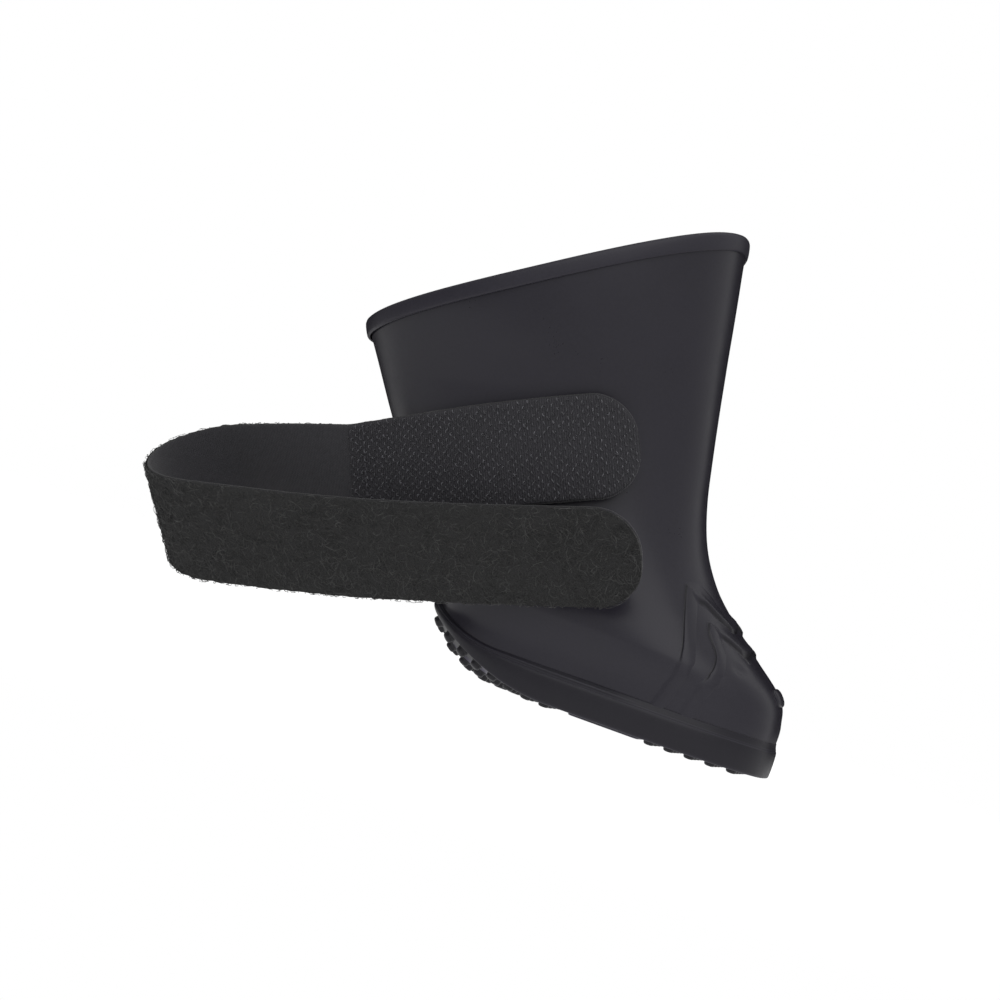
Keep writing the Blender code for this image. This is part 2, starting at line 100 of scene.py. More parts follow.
# Raised ribs: the four edge lines of each as (x, z), and the levels where its branch crosses the front
RIB_OUTER = {
    "leg_back": [(11.2, 8.0), (12.4, 11.7), (13.5, 15.4), (14.4, 18.6), (14.5, 20.7), (14.1, 22.8),
                 (13.2, 25.8), (12.2, 28.3), (10.9, 31.6), (9.3, 35.6), (8.5, 38.0)],
    "leg_toe": [(14.4, 8.4), (15.9, 12.9), (16.8, 15.8), (17.4, 18.6), (17.4, 20.9), (16.8, 23.3),
                (15.4, 26.8), (13.6, 31.0), (11.8, 35.3)],
    "branch_top": [(8.5, 38.0), (10.6, 38.2), (12.6, 37.5), (14.6, 36.4), (17.1, 34.7), (19.0, 33.4)],
    "branch_foot": [(11.8, 35.3), (14.0, 35.0), (16.1, 33.8), (18.6, 32.3), (20.4, 31.4), (21.7, 30.7)],
    "front": (0.298, 0.272)}
RIB_INNER = {
    "leg_back": [(18.4, 8.4), (19.0, 11.9), (19.9, 14.8), (20.9, 17.6), (21.7, 20.0), (21.9, 22.0),
                 (21.3, 24.3), (20.1, 26.1), (18.7, 27.6), (17.3, 29.5), (16.4, 31.3)],
    "leg_toe": [(21.6, 8.4), (22.5, 12.3), (23.3, 15.6), (24.0, 18.4), (24.2, 20.8), (23.8, 23.2),
                (22.6, 25.6), (20.9, 27.8), (19.5, 29.5)],
    "branch_top": [(16.4, 31.3), (18.5, 31.7), (20.2, 31.4), (22.1, 30.5), (23.9, 29.6)],
    "branch_foot": [(19.5, 29.5), (20.9, 28.9), (22.7, 28.2), (25.0, 27.1), (26.3, 26.6)],
    "front": (0.243, 0.214)}
BUMPER_LEVEL = 0.123
BUMPER_HALF_HEIGHT = 2.3
BUMPER_HALF_WIDTH = 4.4
BUMPER_STAND = 0.85
FRONT_LENGTH = 138.0  # about, from sole to mouth along the front

# Strap
STRAP_WIDTH = 25.0
WEB = 0.8
PILE_BASE = 0.55
PATCH_BASE = 0.45
LIFT = 2.8  # from the rubber to the middle of the web
ANCHOR_TIP = (-11.5, 65.6)
ANCHOR_SLOPE = 23.8
ANCHOR_INSET = 1.5  # from the strap's edges to where it touches the shaft
BONDED = 43.0
PATCH_LENGTH = 74.0
RUN_SLOPE = 14.1
RUN_LENGTH = 28.0
BEND_RADIUS = 15.0
FOLD_TILT = 27.6
FOLD_LEAN = 24.0
TAIL_START_SLOPE = 11.6
TAIL_SLOPE = 16.9
TAIL_SETTLE = 75.0
TAIL_YAW = 1.8
TAIL_LEAN = 28.0
TAIL_LENGTH = 108.0
END_CORNER = 11.0
MIN_HALF = 0.4  # half the width left at the very tip of a rounded end
BLEND_REACH = 6.0  # from a hinge to the ends of the stretch that bends with it


# ---- curves and boot shape ----

def clamp(x, low=0.0, high=1.0):
    return max(low, min(high, x))


def smooth_line(points, t):
    """A point on the smooth curve through the points, t from 0 to 1 along its length."""
    points = [Vector(p) for p in points]
    lengths = [(b - a).length for a, b in zip(points, points[1:])]
    left = clamp(t) * sum(lengths)
    i = 0
    while i < len(lengths) - 1 and left > lengths[i]:
        left -= lengths[i]
        i += 1
    u = left / lengths[i]
    p1, p2 = points[i], points[i + 1]
    p0 = points[i - 1] if i else p1 * 2 - p2
    p3 = points[i + 2] if i + 2 < len(points) else p2 * 2 - p1
    return (p1 * 2 + (p2 - p0) * u + (p0 * 2 - p1 * 5 + p2 * 4 - p3) * u ** 2
            + (p1 * 3 - p0 - p2 * 3 + p3) * u ** 3) / 2


def ease(x):
    x = clamp(x)
    return x * x * (3 - 2 * x)


def mix(a, b, t):
    return a + (b - a) * t


def signed_power(value, power):
    return math.copysign(abs(value) ** power, value)


def half_width(level):
    for (a, wa), (b, wb) in zip(HALF_WIDTHS, HALF_WIDTHS[1:]):
        if level <= b:
            return mix(wa, wb, ease((level - a) / (b - a)))
    return HALF_WIDTHS[-1][1]


def around(count):
    """Angles evenly round a circle."""
    return [2 * math.pi * k / count for k in range(count)]


def curl(x, start=ARCH_END, length=ARCH_END - HEEL_END):
    return (max(0.0, start - x) / length) ** 2


def ring_shape(level):
    """Front point, rear point, half width and squareness of the boot's ring at a level."""
    front = smooth_line(FRONT_LINE, level)
    rear = smooth_line(REAR_LINE, math.sin(level * math.pi / 2) ** REAR_PACE)
    square = mix(SOLE_SQUARENESS, SHAFT_SQUARENESS, ease(level / SQUARE_UNTIL))
    return front, rear, half_width(level), square


def height_at(level, x, front, rear):
    along = (front.x - x) / (front.x - rear.x)
    flat = ease(level / SOLE_UNTIL)
    along += MOUTH_DIP * ease(level * 2 - 1) * math.sin(math.pi * clamp(along))
    return front.y + (rear.y - front.y) * ((1 - flat) * curl(x) + flat * along)


def ring_point(shape, level, turn, grow=0.0):
    front, rear, width, square = shape
    c, s = math.cos(turn), math.sin(turn)
    x = (front.x + rear.x) / 2 + ((front.x - rear.x) / 2 + grow) * signed_power(c, 2 / square)
    full = 1 + TOE_FULLNESS * c * (1 - ease(level / SOLE_UNTIL))
    y = (width * full + grow) * signed_power(s, 2 / square)
    return Vector((x, y, height_at(level, x, front, rear)))


def boot_point(level, turn):
    return ring_point(ring_shape(level), level, turn)


def boot_normal(level, turn):
    step = 0.004
    up = boot_point(min(1, level + step), turn) - boot_point(max(0, level - step), turn)
    across = boot_point(level, turn + step) - boot_point(level, turn - step)
    return across.cross(up).normalized()


def level_of(x, z):
    """The level whose ring passes through x at height z."""
    low, high = 0.0, 1.0
    for _ in range(24):
        level = (low + high) / 2
        front, rear, _, _ = ring_shape(level)
        if height_at(level, x, front, rear) < z:
            low = level
        else:
            high = level
    return level


def turn_at(level, x):
    """Where the ring passes through x on the strap's side."""
    front, rear, _, square = ring_shape(level)
    part = (x - (front.x + rear.x) / 2) / ((front.x - rear.x) / 2)
    return -math.acos(signed_power(clamp(part, -0.9999, 0.9999), square / 2))


def side_of_boot(x, z):
    level = level_of(x, z)
    return -boot_point(level, turn_at(level, x)).y


def plate_width(x):
    return abs(boot_point(0, turn_at(0, x)).y)


# ---- mesh helpers ----

def placed(name, data):
    """A new object in the scene."""
    obj = bpy.data.objects.new(name, data)
    bpy.context.scene.collection.objects.link(obj)
    return obj


def piece(name, points, faces, mat, body="boot", nodes=(), slot=None, uvs=None, sharp=40):
    """A mesh from millimetre points, riding on a body. The slot argument is not used.

    A piece of the strap has (first body, second body, place of their hinge) for its body; it is only baked in
    place.
    uvs gives one (u, v) for each point.
    """
    mesh = bpy.data.meshes.new(name)
    mesh.from_pydata([tuple(p * MM) for p in points], [], faces)
    if uvs:
        coordinates = mesh.uv_layers.new(name="tape")
        for loop in mesh.loops:
            coordinates.data[loop.index].uv = uvs[loop.vertex_index]
    mesh.materials.append(mat)
    mesh.shade_smooth()
    if sharp:
        mesh.set_sharp_from_angle(angle=math.radians(sharp))
    obj = placed(name, mesh)
    if isinstance(body, tuple):
        first, second, hinge = body
        before, after = strap.place(hinge - BLEND_REACH), strap.place(hinge + BLEND_REACH)
        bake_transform(obj)
    else:
        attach(obj, body)
    if nodes:
        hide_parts(*nodes)
    slot or nodes[0]


def ring_faces(count, rows, base=0, wrap=False):
    """Faces over rows of count points, with caps unless the last row joins the first."""
    faces = []
    for i in range(rows if wrap else rows - 1):
        low, high = base + i * count, base + (i + 1) % rows * count
        for j in range(count):
            k = (j + 1) % count
            faces.append((low + j, low + k, high + k, high + j))
    if not wrap:
        last = base + (rows - 1) * count
        faces += [tuple(range(base, base + count))[::-1], tuple(range(last, last + count))]
    return faces


def skin(rings, wrap=False):
    """Points and faces over closed rings of equal length, with the faces turned outwards."""
    points = [p for ring in rings for p in ring]
    faces = ring_faces(len(rings[0]), len(rings), wrap=wrap)
    volume = 0.0
    for face in faces:
        a = points[face[0]]
        for j in range(1, len(face) - 1):
            volume += a.dot(points[face[j]].cross(points[face[j + 1]]))
    return points, faces if volume > 0 else [face[::-1] for face in faces]


def solid(name, rings, mat, wrap=False, **more):
    """A piece over closed rings."""
    piece(name, *skin(rings, wrap), mat, **more)


def tubes(paths, radius, sides):
    """Points and faces of thin closed tubes along many short paths."""
    points, faces = [], []
    for path in paths:
        base = len(points)
        for i, p in enumerate(path):
            ahead = (path[min(i + 1, len(path) - 1)] - path[max(i - 1, 0)]).normalized()
            side = (side - ahead * side.dot(ahead) if i else ahead.orthogonal()).normalized()
            other = ahead.cross(side)
            for a in around(sides):
                points.append(p + (side * math.cos(a) + other * math.sin(a)) * radius)
        faces += ring_faces(sides, len(path), base)
    return points, faces


# ---- materials ----

class Nodes:
    """A node tree, with short calls for what goes into it. They give back the socket with the result."""

    def __init__(self, tree):
        self.tree = tree

    def node(self, kind, inputs=(), **settings):
        made = self.tree.nodes.new("ShaderNode" + kind)
        for key, value in settings.items():
            setattr(made, key, value)
        return self.fill(made, dict(inputs))

    def fill(self, made, inputs):
        """Links each value to its input if it is a socket, and sets it there if not."""
        for key, value in inputs.items():
            target = made.inputs[key]
            if isinstance(value, bpy.types.NodeSocket):
                self.tree.links.new(value, target)
            else:
                target.default_value = (*value, 1.0) if target.type == "RGBA" else value
        return made

    def math(self, operation, *values):
        return self.node("Math", enumerate(values), operation=operation).outputs[0]

    def times(self, a, b):
        return self.math("MULTIPLY", a, b)

    def plus(self, a, b):
        return self.math("ADD", a, b)

    def size(self, value):
        return self.math("ABSOLUTE", value)

    def vector(self, operation, a, b, result="Value"):
        return self.node("VectorMath", {0: a, 1: b}, operation=operation).outputs[result]

    def split(self, vector):
        return self.node("SeparateXYZ", {0: vector}).outputs

    def noise(self, where, scale, detail=2.0, rough=0.5):
        inputs = {"Vector": where, "Scale": scale, "Detail": detail, "Roughness": rough}
        return self.node("TexNoise", inputs).outputs["Fac"]

    def span(self, value, low, high, start=0.0, end=1.0):
        """value, from start to end, mapped to low to high and held there."""
        return self.node("MapRange", enumerate((value, start, end, low, high))).outputs[0]

    def blend(self, factor, a, b):
        return self.node("Mix", {"Factor": factor, 6: a, 7: b}, data_type="RGBA").outputs[2]

    def bump(self, height, distance, **under):
        return self.node("Bump", {"Height": height, "Distance": distance, **under}).outputs["Normal"]


class Look(Nodes):
    """A Principled material being built."""

    def __init__(self, name):
        self.mat = bpy.data.materials.new(name)
        self.mat.use_nodes = True
        super().__init__(self.mat.node_tree)
        self.shader = self.tree.nodes["Principled BSDF"]

    def place(self):
        return self.node("TexCoord").outputs["Object"]

    def own(self):
        """The piece's own coordinates, together and one by one."""
        uv = self.node("UVMap", uv_map="tape").outputs["UV"]
        return uv, *self.split(uv)[:2]

    def finish(self, colour, roughness, normal, specular=0.5, sheen=0.0):
        self.fill(self.shader, {"Base Color": colour, "Roughness": roughness, "Normal": normal,
                                "Specular IOR Level": specular, "Sheen Weight": sheen,
                                "Sheen Roughness": SHEEN_ROUGHNESS})
        return self.mat


def shade(colour, factor):
    return tuple(c * factor for c in colour)


SHEEN_ROUGHNESS = 0.6

# Rubber: scales of its patterns for each metre, depths in metres, and tones as parts of the rubber's colour
CLOUD_SCALE = 55.0
WAVE_SCALE = 110.0
HIGHLIGHT_NOISE_SCALE = 160.0
GRAIN_SCALE = 1500.0
GRAIN_DEPTH = 0.000006
WAVE_DEPTH = 0.00006
CLOUD_TONES = (0.95, 1.05)
GRAIN_TONE = 1.3
EDGE_TONE = 2.0
CREASE_SHADE_TONE = 0.3
SHARP_EDGE = (0.53, 0.62)  # pointiness where the paler edge starts and is full; the paler edge is partly wear, partly painted highlight
LEG_CREASE_SHADE = (-0.035, 0.03, 0.11)  # its place across a rib, and where it starts and stops fading, for the painted crease shade
ARM_CREASE_SHADE = (1.0, 0.06, 0.3)


def rubber(name, colour, roughness, grain=GRAIN_DEPTH, specular=0.5, shaded_creases=False, highlight_gain=0.0):
    """Moulded rubber: fine skin grain, slow waviness of the mould, cloudy bloom, and paler sharp edges that
    are partly wear and partly painted highlight.

    With its creases shaded it is darker along the sharp foot of a rib, a painted shade; with a highlight gain
    it is paler where its second coordinate nears 1, a painted highlight; both from the piece's own
    coordinates.
    """
    look = Look(name)
    where = look.place()
    cloud = look.noise(where, CLOUD_SCALE, 4.0, 0.6)
    fine = look.noise(where, GRAIN_SCALE, 1.0, 0.5)
    edge = look.span(look.node("NewGeometry").outputs["Pointiness"], 0.0, 1.0, *SHARP_EDGE)
    body = look.blend(look.span(cloud, 0.0, 1.0, 0.35, 0.7), *(shade(colour, tone) for tone in CLOUD_TONES))
    body = look.blend(look.span(fine, 0.0, 0.25, 0.35, 0.7), body, shade(colour, GRAIN_TONE))
    # sharp edges paler: partly wear, partly a painted highlight along the edges
    body = look.blend(look.times(edge, 0.45), body, shade(colour, EDGE_TONE))
    # painted shade along the sharp foot of each rib, where the crease lies in shadow
    if shaded_creases:
        _, branch, across = look.own()
        leg, arm = (look.span(look.size(look.plus(across, -at)), 1.0, 0.0, near, far)
                    for at, near, far in (LEG_CREASE_SHADE, ARM_CREASE_SHADE))
        crease_shade = look.plus(look.times(leg, look.math("SUBTRACT", 1.0, look.size(branch))),
                           look.times(arm, look.math("MAXIMUM", branch, 0.0)))
        body = look.blend(look.times(crease_shade, 0.75), body, shade(colour, CREASE_SHADE_TONE))
    # paler where the piece's second coordinate nears 1: a painted highlight, on the side wall's foot and top
    # edges and on the tread's plate as light from below
    if highlight_gain:
        _, _, highlit = look.own()
        uneven = look.span(look.noise(where, HIGHLIGHT_NOISE_SCALE, 3.0, 0.6), 0.55, 1.0, 0.35, 0.65)
        body = look.blend(look.times(highlit, uneven), body, shade(colour, highlight_gain))
    rough = look.plus(look.span(cloud, roughness - 0.04, roughness + 0.04, 0.3, 0.7),
                      look.span(fine, -0.03, 0.03, 0.3, 0.7))
    normal = look.bump(look.noise(where, WAVE_SCALE, 1.0), WAVE_DEPTH, Normal=look.bump(fine, grain))
    return look.finish(body, rough, normal, specular)


YARN_WANDER = 0.35  # millimetres that a yarn strays from its row
WARP_SHARE = 0.6
TAPE_EDGE = (0.32, 0.12)  # from the edge, where its colour starts and is full


def tape_look(name, colour, pitch_along, pitch_across, depth, roughness, fuzz=0.3, sheen=0.2, edge=None):
    """Woven tape, from its own flat coordinates in millimetres: ribs of weft over warp, with uneven yarns."""
    look = Look(name)
    uv, u, v = look.own()
    wander = look.noise(uv, 0.8, 2.0)
    along = look.times(look.plus(u, look.times(wander, YARN_WANDER)), math.pi / pitch_along)
    across = look.times(v, math.pi / pitch_across)
    weft = look.size(look.math("SINE", along))
    row = look.math("FLOOR", look.math("DIVIDE", along, math.pi))
    warp = look.size(look.math("SINE", look.plus(across, look.times(row, math.pi / 2))))
    weave = look.times(weft, look.plus(look.times(warp, WARP_SHARE), 1 - WARP_SHARE))
    height = look.plus(weave, look.times(look.noise(uv, 5.5, 3.0, 0.7), fuzz))
    tone = look.span(height, 0.72, 1.35, 0.1, 1.2)
    body = look.blend(look.span(wander, 0.0, 1.0, 0.3, 0.7), shade(colour, 0.9), shade(colour, 1.12))
    # darker in the low parts of the weave: painted shade between the yarns
    body = look.blend(look.times(tone, 0.5), shade(colour, 0.55), body)
    if edge:
        rim = look.span(look.size(v), 0.0, 1.0, *(STRAP_WIDTH / 2 - inset for inset in TAPE_EDGE))
        body = look.blend(rim, body, edge)
    return look.finish(body, look.span(height, roughness + 0.08, roughness - 0.08), look.bump(height, depth),
                       0.35, sheen)


STRAND_SETS = [(0.55, 26.0, 0.0), (0.8, 21.0, 31.7)]  # (noise scale, contour lines, shift of the noise)


def felt_look(name, colour, roughness):
    """A ground of matted curly yarn: two sets of winding strands, from contour lines of a slow noise."""
    look = Look(name)
    uv, _, _ = look.own()
    strands = []
    for scale, turns, shift in STRAND_SETS:
        field = look.noise(look.vector("ADD", uv, (shift, shift, 0), "Vector"), scale, 2.5, 0.55)
        strands.append(look.size(look.math("SINE", look.times(field, turns * math.pi))))
    tangle = look.math("MAXIMUM", *strands)
    ends = look.noise(uv, 3.0, 3.0, 0.7)
    height = look.plus(look.math("POWER", tangle, 3.0), look.times(ends, 0.8))
    # the strands' pattern, with painted shade low in the pile's hollows and the raised strands lighter
    body = look.blend(look.span(height, 0.0, 1.0, 0.5, 1.5), shade(colour, 0.6), shade(colour, 1.45))
    return look.finish(body, roughness, look.bump(height, 0.00022), 0.25, 0.12)


def fibre(name, colour, spread, roughness, specular=0.4):
    """Yarn or monofilament, each strand lighter or darker than the next by up to the spread."""
    look = Look(name)
    where = look.place()
    tone = look.span(look.noise(where, 420.0, 2.0, 0.8), 0.0, 1.0, 0.35, 0.68)
    body = look.blend(tone, shade(colour, 1 - spread), shade(colour, 1 + spread))
    return look.finish(body, roughness, look.bump(look.noise(where, 5000.0), 0.00001), specular, 0.15)


RUBBER = (0.0284, 0.026, 0.0372)
SOLE = (0.0262, 0.0245, 0.0325)
TAPE = (0.061, 0.059, 0.068)
PILE = (0.0455, 0.0455, 0.046)
LOOP = (0.061, 0.061, 0.0605)
HOOK = (0.15, 0.148, 0.165)
TAPE_SIDE = (0.05, 0.05, 0.052)
INSOLE = (0.04, 0.04, 0.045)

upper_look = rubber("upper_rubber", RUBBER, 0.33)
# a lighter copy of the rubber for the rim, which faces up: painted light
rim_look = rubber("rim_rubber", shade(RUBBER, 1.22), 0.42, 0.00003)
# a darker copy of the rubber for the side wall, which faces sideways and down: painted shade; its foot and
# top edges get a painted highlight
wall_look = rubber("side_wall_rubber", shade(RUBBER, 0.66), 0.38, specular=0.42, highlight_gain=2.2)
# the ribs get painted shade in their creases
rib_look = rubber("rib_rubber", RUBBER, 0.34, shaded_creases=True)
bumper_look = rubber("bumper_rubber", RUBBER, 0.36)
# the tread in a darker copy of the sole colour with its plate painted much lighter: painted light from below
# on the plate, painted shade on the studs
sole_look = rubber("tread_rubber", shade(SOLE, 0.75), 0.34, 0.00002, highlight_gain=12.0)
web_look = tape_look("woven_tape", TAPE, 0.45, 0.6, 0.00009, 0.8, edge=TAPE_SIDE)
pile_look = felt_look("pile_ground", PILE, 0.95)
patch_look = tape_look("hook_ground", shade(TAPE, 1.05), 0.575, 1.02, 0.00016, 0.6, fuzz=0.5, sheen=0.05)
loop_look = fibre("loop_yarn", LOOP, 0.55, 0.8)
strand_look = fibre("loose_strand", shade(LOOP, 1.6), 0.5, 0.7)
hook_look = fibre("hook_filament", HOOK, 0.6, 0.38, 0.5)
thread_look = fibre("sewing_thread", shade(TAPE, 1.5), 0.25, 0.6)


# ---- boot ----

TURNS = 216
LEVELS = 118
LEVEL_PACE = 1.12  # crowds the levels at the sole
RING = around(TURNS)
SLOW_WAVE = (0.12, 0.045)  # (height, waves in each millimetre)
FINE_WAVE = (0.04, 0.13)
MOULD_LINE = (0.12, 0.45)  # (height, half width)
DENT_PLACE = (27.2, 23.4)
DENT_TURN = (0.95, 0.3)
DENT_SIZE = (0.5, 1.7, 0.8)  # depth, half length, half width


def upper_relief(p):
    """Small departures of the moulded skin, outwards: waves, a mould line in the middle plane, a toe dent."""
    lift = SLOW_WAVE[0] * noise.noise(p * SLOW_WAVE[1])
    lift += FINE_WAVE[0] * noise.noise(p * FINE_WAVE[1] + Vector((7, 3, 1)))
    seam = MOULD_LINE[0] * math.exp(-(p.y / MOULD_LINE[1]) ** 2)
    (x, z), (c, s), (depth, length, width) = DENT_PLACE, DENT_TURN, DENT_SIZE
    along, beside = (p.x - x) * c - (p.z - z) * s, (p.x - x) * s + (p.z - z) * c
    return lift + seam - depth * math.exp(-(along / length) ** 2 - (beside / width) ** 2)


def skin_point(level, turn, height):
    """A point at a height over the upper's moulded skin."""
    p = boot_point(level, turn)
    return p + boot_normal(level, turn) * (upper_relief(p) + height)


def make_upper():
    grid = []
    for i in range(LEVELS):
        level = (i / (LEVELS - 1)) ** LEVEL_PACE
        shape = ring_shape(level)
        grid.append([ring_point(shape, level, a) for a in RING])
    outer, inner = [], []
    for i, row in enumerate(grid):
        above, below = grid[min(i + 1, LEVELS - 1)], grid[max(i - 1, 0)]
        normals = [(row[(j + 1) % TURNS] - row[j - 1]).cross(above[j] - below[j]).normalized()
                   for j in range(TURNS)]
        outer.append([p + normal * upper_relief(p) for p, normal in zip(row, normals)])
        inner.append([p - normal * WALL for p, normal in zip(row, normals)])
    solid("upper_skin", outer + inner[::-1], upper_look, wrap=True, nodes=["upper_shell"], sharp=55)


# The rim's section: (outwards, upwards) from the mouth's edge
RIM_PROFILE = [(0.03, -3.0), (0.36, -3.02), (0.56, -2.92), (0.68, -2.6), (0.74, -2.0), (0.78, -1.2),
               (0.76, -0.2), (0.68, 0.5), (0.5, 0.95), (0.2, 1.2), (-0.3, 1.3), (-1.1, 1.33), (-2.0, 1.28),
               (-2.7, 1.1), (-3.1, 0.75), (-3.3, 0.1), (-3.3, -0.8), (-3.2, -1.5), (-2.9, -1.85),
               (-2.5, -1.95), (-2.05, -1.8), (-2.05, 0.12), (-1.0, 0.16), (0.03, 0.12), (0.03, -1.6)]
RIM_WAVE = (0.05, 0.09)
WAVY_RIM = 0.5  # the rim is slightly wavy further out than this


def make_rim():
    frames = []
    for a in RING:
        edge = boot_point(1, a)
        frames.append((edge, (edge - boot_point(0.985, a)).normalized(), boot_normal(1, a)))
    rings = []
    for outwards, upwards in RIM_PROFILE:
        height = RIM_WAVE[0] if outwards > WAVY_RIM else 0.0
        rings.append([edge + out * outwards + up * upwards + out * (height * noise.noise(edge * RIM_WAVE[1]))
                      for edge, up, out in frames])
    solid("rim_roll", rings, rim_look, wrap=True, nodes=["rim_band"], sharp=50)


def edge_height(x):
    """Where the side wall's foot and the tread's edge lie: level, then curling up under the heel."""
    c = curl(x)
    return FOXING_BOTTOM + EDGE_CURL * c * (1 - EDGE_EASE * c)


def wall_top(x):
    height, start, length = FOXING_TOP_CURL
    return FOXING_TOP + height * curl(x, start, length)


# The wall strip's section: (out from the sole's outline, part of the height, how much painted highlight). Its
# top has a bead at the heel and is flush at the toe.
WALL_FACE = [(0.3, 0.02, 0.9), (0.7, 0.0, 1.0), (1.0, 0.008, 1.0), (1.2, 0.03, 0.9), (1.32, 0.06, 0.2),
             (1.36, 0.11, 0), (1.4, 0.17, 0), (1.46, 0.3, 0), (1.48, 0.45, 0), (1.44, 0.6, 0),
             (1.36, 0.72, 0), (1.26, 0.78, 0), (1.14, 0.81, 1.0), (1.0, 0.825, 0)]
WALL_BEAD = [(0.93, 0.845, 0), (0.92, 0.86, 0.9), (0.93, 0.885, 0), (0.93, 0.91, 0), (0.86, 0.94, 0.9),
             (0.7, 0.965, 0), (0.5, 0.99, 0), (0.3, 1.02, 0), (0.0, 1.06, 0), (-2.0, 1.1, 0)]
WALL_FLUSH = [(0.93, 0.84, 0), (0.87, 0.86, 0.9), (0.78, 0.88, 0), (0.68, 0.9, 0), (0.58, 0.925, 0),
              (0.49, 0.95, 0), (0.41, 0.98, 0), (0.34, 1.01, 0), (0.2, 1.05, 0), (-2.0, 1.1, 0)]
WALL_BACK = [(-2.0, 0.9, 0), (0.3, 0.7, 0)]
WALL_SHOWS = 0.3  # the strip is rounded and thinned only further out than this
BEAD_FADE = (-2.0, 16.0)  # (x where it starts, length)
TOE_FADE = (22.0, 15.0)
TOE_THINNING = 0.68
HEEL_ROUNDING = 1.1


def make_side_wall():
    """The wall strip: plain face, fine rolled top edge, and a bead behind it that dies out to the toe."""
    shape = ring_shape(0)
    rings, uvs = [], []
    for spots in zip(WALL_FACE + WALL_BEAD + WALL_BACK, WALL_FACE + WALL_FLUSH + WALL_BACK):
        ring = []
        for a in RING:
            x = ring_point(shape, 0, a).x
            flush = ease((x - BEAD_FADE[0]) / BEAD_FADE[1])
            outwards, part, highlit = (mix(u, v, flush) for u, v in zip(*spots))
            if outwards > WALL_SHOWS:
                outwards -= HEEL_ROUNDING * curl(x) * (1 - part) ** 2
                outwards *= mix(1.0, TOE_THINNING, ease((x - TOE_FADE[0]) / TOE_FADE[1]))
            p = ring_point(shape, 0, a, outwards)
            ring.append(Vector((p.x, p.y, mix(edge_height(x), wall_top(x), part))))
            uvs.append((x, highlit))
        rings.append(ring)
    solid("side_wall", rings, wall_look, wrap=True, nodes=["foxing_band"], sharp=60, uvs=uvs)


def underside(x, y):
    keel = PLATE_BOTTOM + KEEL_CURL * (max(0.0, KEEL_START - x) / KEEL_LENGTH) ** KEEL_POWER
    edge = max(edge_height(x) + 0.25, PLATE_BOTTOM)
    side = min(1.0, abs(y) / max(plate_width(x), 1.0))
    return keel + (edge - keel) * side ** SIDE_POWER


def stud_places():
    """Columns of studs, the outermost following the edge of the sole, every other column in the gaps."""
    pitch_x, pitch_y = STUD_PITCH
    for start, end in (HEEL_STUDS, FORE_STUDS):
        for i in range(int((end - start) / pitch_x) + 1):
            x = start + i * pitch_x
            reach = plate_width(x) - STUD_EDGE
            gaps = max(1, round(2 * reach / pitch_y)) if reach > 1 else 0
            if gaps and (gaps + i) % 2:
                gaps += 1
            for j in range(gaps + 1):
                yield x, (reach * (2 * j / gaps - 1) if gaps else 0.0)


# A stud's section: (radius, height)
STUD_PROFILE = [(1.75, -0.25), (1.58, 0.0), (1.42, 0.14), (1.36, 0.4), (1.31, 0.7), (1.2, 0.96), (0.95, 1.12),
                (0.6, 1.19), (0.02, 1.2)]
STUD_SIDES = 18
STUD_SPREAD = 0.02  # of the studs' sizes
HEEL_STUD_EXTRA = 0.1  # of the height
PLATE_SIDES = 144
PLATE_STEPS = [0.01, 0.2, 0.4, 0.55, 0.7, 0.82, 0.92, 0.98, 1.0]
PLATE_GROWTH = 0.1
PLATE_HIGHLIGHT = 1.0
PAD_HIGHLIGHT = 0.3


def stud_rings(x, y):
    """One stud, square to the underside."""
    step = 0.5
    slope_x = (underside(x + step, y) - underside(x - step, y)) / (2 * step)
    slope_y = (underside(x, y + step) - underside(x, y - step)) / (2 * step)
    out = Vector((slope_x, slope_y, -1)).normalized()
    foot = Vector((x, y, underside(x, y)))
    a = out.orthogonal().normalized()
    b = out.cross(a)
    size = 1 + STUD_SPREAD * rng.uniform(-1, 1)
    tall = 1 + HEEL_STUD_EXTRA * ease((KEEL_START + 8 - x) / 12)
    return [[foot + (a * math.cos(t) + b * math.sin(t)) * (radius * size) + out * (height * tall)
             for t in around(STUD_SIDES)] for radius, height in STUD_PROFILE]


def pad_rings():
    start, end, reach = WAIST_PAD
    rings = []
    for inset, z in PAD_SECTION:
        ring, radius = [], PAD_CORNER - inset
        for x, y, first in ((end, reach, 0), (start, reach, 90), (start, -reach, 180), (end, -reach, 270)):
            middle = Vector((x - math.copysign(PAD_CORNER, x - (start + end) / 2),
                             y - math.copysign(PAD_CORNER, y)))
            for k in range(5):
                t = math.radians(first + 90 * k / 4)
                ring.append(Vector((middle.x + radius * math.cos(t), middle.y + radius * math.sin(t), z)))
        rings.append(ring)
    return rings


def make_sole():
    """The tread: a plate with a rolled edge, rounded studs with a fillet at the foot, and the waist pad."""
    shape = ring_shape(0)
    middle = (shape[0].x + shape[1].x) / 2
    points, faces, uvs = [], [], []

    def plate_ring(height, shrink):
        ring = []
        for a in around(PLATE_SIDES):
            p = ring_point(shape, 0, a, PLATE_GROWTH)
            x, y = middle + (p.x - middle) * shrink, p.y * shrink
            ring.append(Vector((x, y, height(x, y))))
        return ring

    def add(rings, highlit):
        more, more_faces = skin(rings)
        base = len(points)
        faces.extend(tuple(base + k for k in face) for face in more_faces)
        uvs.extend((p.x, highlit(p)) for p in more)
        points.extend(more)

    plate = [plate_ring(lambda x, y: PLATE_TOP + HEEL_CURL * curl(x), s) for s in PLATE_STEPS]
    plate += [plate_ring(underside, s) for s in PLATE_STEPS[::-1]]
    # the plate gets the painted light from below, the studs none
    add(plate, lambda p: PLATE_HIGHLIGHT if p.z < PLATE_TOP else 0.0)
    for x, y in stud_places():
        add(stud_rings(x, y), lambda p: 0.0)
    add(pad_rings(), lambda p: PAD_HIGHLIGHT)
    piece("tread", points, faces, sole_look, nodes=["outsole"], sharp=50, uvs=uvs)


